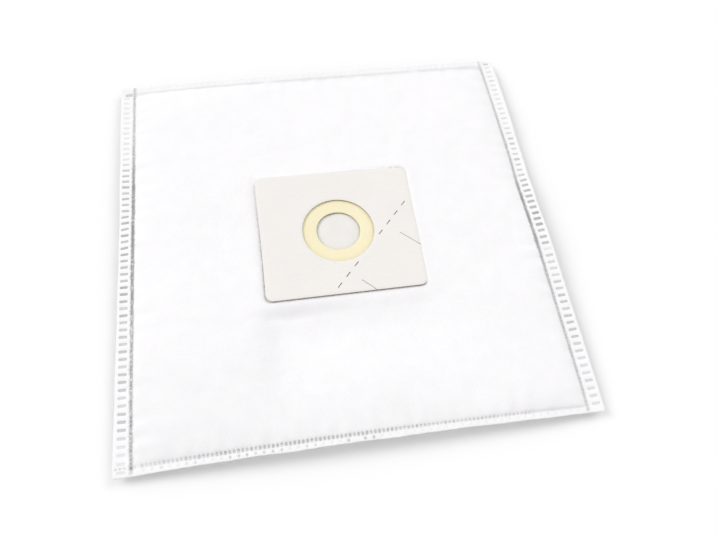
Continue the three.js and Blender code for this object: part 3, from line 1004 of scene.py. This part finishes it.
def fleece_material(name, inside=False):
    m = Nodes(name)
    press_and_shade = m.attribute("press_and_shade")
    # fibres: three sets of stretched noise laid over each other
    fibres = None
    for turn, long_, fine in ((0.35, 260, 3100), (1.25, 300, 3300), (2.45, 240, 2900)):
        f = m.noise(m.scaled((long_, fine, 900), turn), detail=2.0, rough=0.55, distortion=0.25)
        fibres = f if fibres is None else m.math("MAXIMUM", fibres, f)
    fibres = m.remap(fibres, 0.50, 0.78)
    cloud = m.noise(m.scaled((1, 1, 1)), scale=95, detail=3.0, rough=0.6)
    cloud_big = m.noise(m.scaled((1, 1, 1)), scale=17, detail=2.0, rough=0.5)
    # the calender's point bonds: a diamond grid of small pressed points
    sep = m.tree.nodes.new("ShaderNodeSeparateXYZ")
    m.tree.links.new(m.scaled((1, 1, 1), math.radians(45)), sep.inputs[0])
    k = 2 * math.pi / 0.00165
    cu = m.math("COSINE", m.math("MULTIPLY", sep.outputs["X"], k))
    cv = m.math("COSINE", m.math("MULTIPLY", sep.outputs["Y"], k))
    bonds = m.remap(m.math("ADD", cu, cv), 1.05, 1.7, smooth=True)
    loose = m.remap(press_and_shade, 0.05, 0.35, 1.0, 0.0)
    base = m.mix(m.remap(cloud, 0.3, 0.7), (0.892, 0.879, 0.893), (0.918, 0.905, 0.919))
    base = m.mix(m.remap(cloud_big, 0.35, 0.65, 0.0, 0.16), base, (0.905, 0.891, 0.903))
    base = m.mix(m.math("MULTIPLY", m.math("MULTIPLY", bonds, loose), 0.30), base, (0.83, 0.83, 0.84))
    base = m.mix(m.math("MULTIPLY", fibres, 0.16), base, (0.97, 0.958, 0.972))
    # the inner face is an unbleached filter layer, darker and warmer than the outside; its tone is also darkened as
    # painted shade for the inside of the bag seen through the hole
    base = m.mix(m.attribute("lining_and_shade"), base, m.mix(m.remap(cloud, 0.3, 0.7), (0.800, 0.782, 0.752), (0.835, 0.815, 0.785)))
    # film_and_shade is the dark tone of the pressed welds; press_and_shade mixes it in on the weld marks and also as
    # painted shade: along the far seam, in the near left quarter, along the near seam and on the chain rims in the
    # middle of the long sides
    film_and_shade = m.mix(m.remap(cloud, 0.35, 0.65), (0.31, 0.31, 0.315), (0.39, 0.39, 0.39))
    colour = m.mix(m.remap(press_and_shade, 0.0, 1.0), base, film_and_shade)
    m.set("Base Color", colour)
    m.set("Roughness", m.remap(press_and_shade, 0.1, 0.8, 0.92, 0.42))
    m.set("Specular IOR Level", 0.35)
    m.set("Sheen Weight", 0.12)
    m.set("Sheen Roughness", 0.6)
    height = m.math("ADD", m.math("MULTIPLY", fibres, 0.55), m.math("MULTIPLY", cloud, 0.5))
    height = m.math("SUBTRACT", height, m.math("MULTIPLY", bonds, 0.75))
    height = m.math("MULTIPLY", height, m.remap(press_and_shade, 0.05, 0.5, 1.0, 0.15))
    m.bump(height, 0.00009, 0.9)
    return m.material


def card_material(name):
    m = Nodes(name)
    core = m.remap(m.attribute("core"), 0.35, 0.75, smooth=True)
    grain = m.noise(m.scaled((1, 1, 1)), scale=900, detail=3.0, rough=0.6)
    long_grain = m.noise(m.scaled((90, 900, 300)), detail=3.0, rough=0.6)
    blotch = m.noise(m.scaled((1, 1, 1)), scale=42, detail=3.0, rough=0.55)
    face = m.mix(m.remap(blotch, 0.3, 0.7), (0.834, 0.805, 0.778), (0.811, 0.783, 0.756))
    face = m.mix(m.remap(long_grain, 0.35, 0.7, 0.0, 0.30), face, (0.862, 0.838, 0.815))
    specks = m.remap(m.noise(m.scaled((1, 1, 1)), scale=640, detail=1.0, rough=0.5), 0.70, 0.76)
    face = m.mix(m.math("MULTIPLY", specks, 0.35), face, (0.62, 0.58, 0.53))
    plies = m.noise(m.scaled((130, 130, 5200)), detail=3.0, rough=0.65)
    edge = m.mix(m.remap(plies, 0.3, 0.7), (0.29, 0.245, 0.210), (0.47, 0.415, 0.365))
    m.set("Base Color", m.mix(core, face, edge))
    m.set("Roughness", m.remap(grain, 0.3, 0.7, 0.62, 0.78))
    m.set("Specular IOR Level", 0.4)
    height = m.math("ADD", m.math("MULTIPLY", grain, 0.6), m.math("MULTIPLY", long_grain, 0.6))
    m.bump(height, 0.00006, 0.7)
    return m.material


def rubber_material(name):
    m = Nodes(name)
    cloud = m.noise(m.scaled((1, 1, 1)), scale=75, detail=3.0, rough=0.55)
    fine = m.noise(m.scaled((1, 1, 1)), scale=1400, detail=2.0, rough=0.6)
    talc = m.noise(m.scaled((1, 1, 1)), scale=260, detail=4.0, rough=0.65)
    base = m.mix(m.remap(cloud, 0.3, 0.7), (0.897, 0.815, 0.572), (0.876, 0.788, 0.520))
    base = m.mix(m.remap(talc, 0.45, 0.75, 0.0, 0.22), base, (0.88, 0.84, 0.70))
    m.set("Base Color", base)
    m.set("Roughness", m.remap(talc, 0.3, 0.7, 0.46, 0.62))
    m.set("Subsurface Weight", 0.15)
    m.set("Subsurface Radius", (0.0012, 0.0009, 0.0005))
    m.set("Subsurface Scale", 1.0)
    m.bump(m.math("ADD", m.math("MULTIPLY", fine, 0.5), m.math("MULTIPLY", talc, 0.6)), 0.00005, 0.5)
    return m.material


def floor_material(name):
    m = Nodes(name)
    cloud = m.noise(m.scaled((1, 1, 1)), scale=3, detail=2.0)
    m.set("Base Color", m.mix(m.remap(cloud, 0.3, 0.7), (0.916, 0.916, 0.918), (0.926, 0.926, 0.927)))
    m.set("Roughness", 0.9)
    m.set("Specular IOR Level", 0.2)
    return m.material


# ------------------------------------------------------------------ pieces
fleece = fleece_material("fleece_nonwoven")
card_board = card_material("grey_card")
latex = rubber_material("cream_latex")

front = fleece_panel("front_panel_cloth", "front")
back = fleece_panel("back_panel_cloth", "back")
card = card_piece("collar_card")
seal = seal_piece("seal_ring")
for piece, material in ((front, fleece), (back, fleece), (card, card_board), (seal, latex)):
    piece.data.materials.append(material)

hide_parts("front_panel")
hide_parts("back_panel")
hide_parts("collar_plate")
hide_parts("seal_membrane")
for piece, slot in ((front, "fleece"), (back, "fleece"), (card, "card"), (seal, "seal_rubber")):
    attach(piece, "root")

# the hidden CAD nodes get the same finishes
for node, material in (("front_panel", fleece), ("back_panel", fleece), ("collar_plate", card_board), ("seal_membrane", latex)):
    obj = bpy.data.objects.get(node)
    if obj:
        for slot in obj.material_slots:
            slot.material = material

# ------------------------------------------------------------------ floor, light, camera
bpy.ops.mesh.primitive_plane_add(size=8, location=(0, 0, -0.0002))
floor = bpy.context.object
floor.name = "floor"
floor.data.materials.append(floor_material("floor_white"))

world = bpy.data.worlds.new("studio_white")
bpy.context.scene.world = world
world.use_nodes = True
background = world.node_tree.nodes["Background"]
background.inputs[0].default_value = (1.0, 1.0, 1.0, 1)
background.inputs[1].default_value = 0.783


def soft_sun(name, azimuth, elevation, strength, softness):
    """A wide, even light from far away, from the given azimuth (from +Y toward +X) and elevation."""
    azimuth, elevation = math.radians(azimuth), math.radians(elevation)
    d = Vector((math.sin(azimuth) * math.cos(elevation), math.cos(azimuth) * math.cos(elevation), math.sin(elevation)))
    data = bpy.data.lights.new(name, "SUN")
    data.energy = strength
    data.angle = math.radians(softness)
    obj = bpy.data.objects.new(name, data)
    obj.location = d * 2
    obj.rotation_euler = (-d).to_track_quat("-Z", "Y").to_euler()
    bpy.context.scene.collection.objects.link(obj)
    return obj


soft_sun("key_back_left", -65, 39.5, 1.01, 32)
soft_sun("key_back_right", 58, 43, 0.50, 32)

camera = bpy.data.cameras.new("camera")
camera.lens = 33.46
camera.sensor_width = 36.0
camera.sensor_fit = "HORIZONTAL"
camera.clip_start = 0.01
eye = bpy.data.objects.new("camera", camera)
eye.location = (-0.0396, -0.2415, 0.4011 + 0.0051)
eye.rotation_euler = (math.radians(28.08), math.radians(-2.73), math.radians(-8.44))
bpy.context.scene.collection.objects.link(eye)
bpy.context.scene.camera = eye

bpy.context.scene.view_settings.view_transform = "Standard"
bpy.context.scene.view_settings.look = "None"
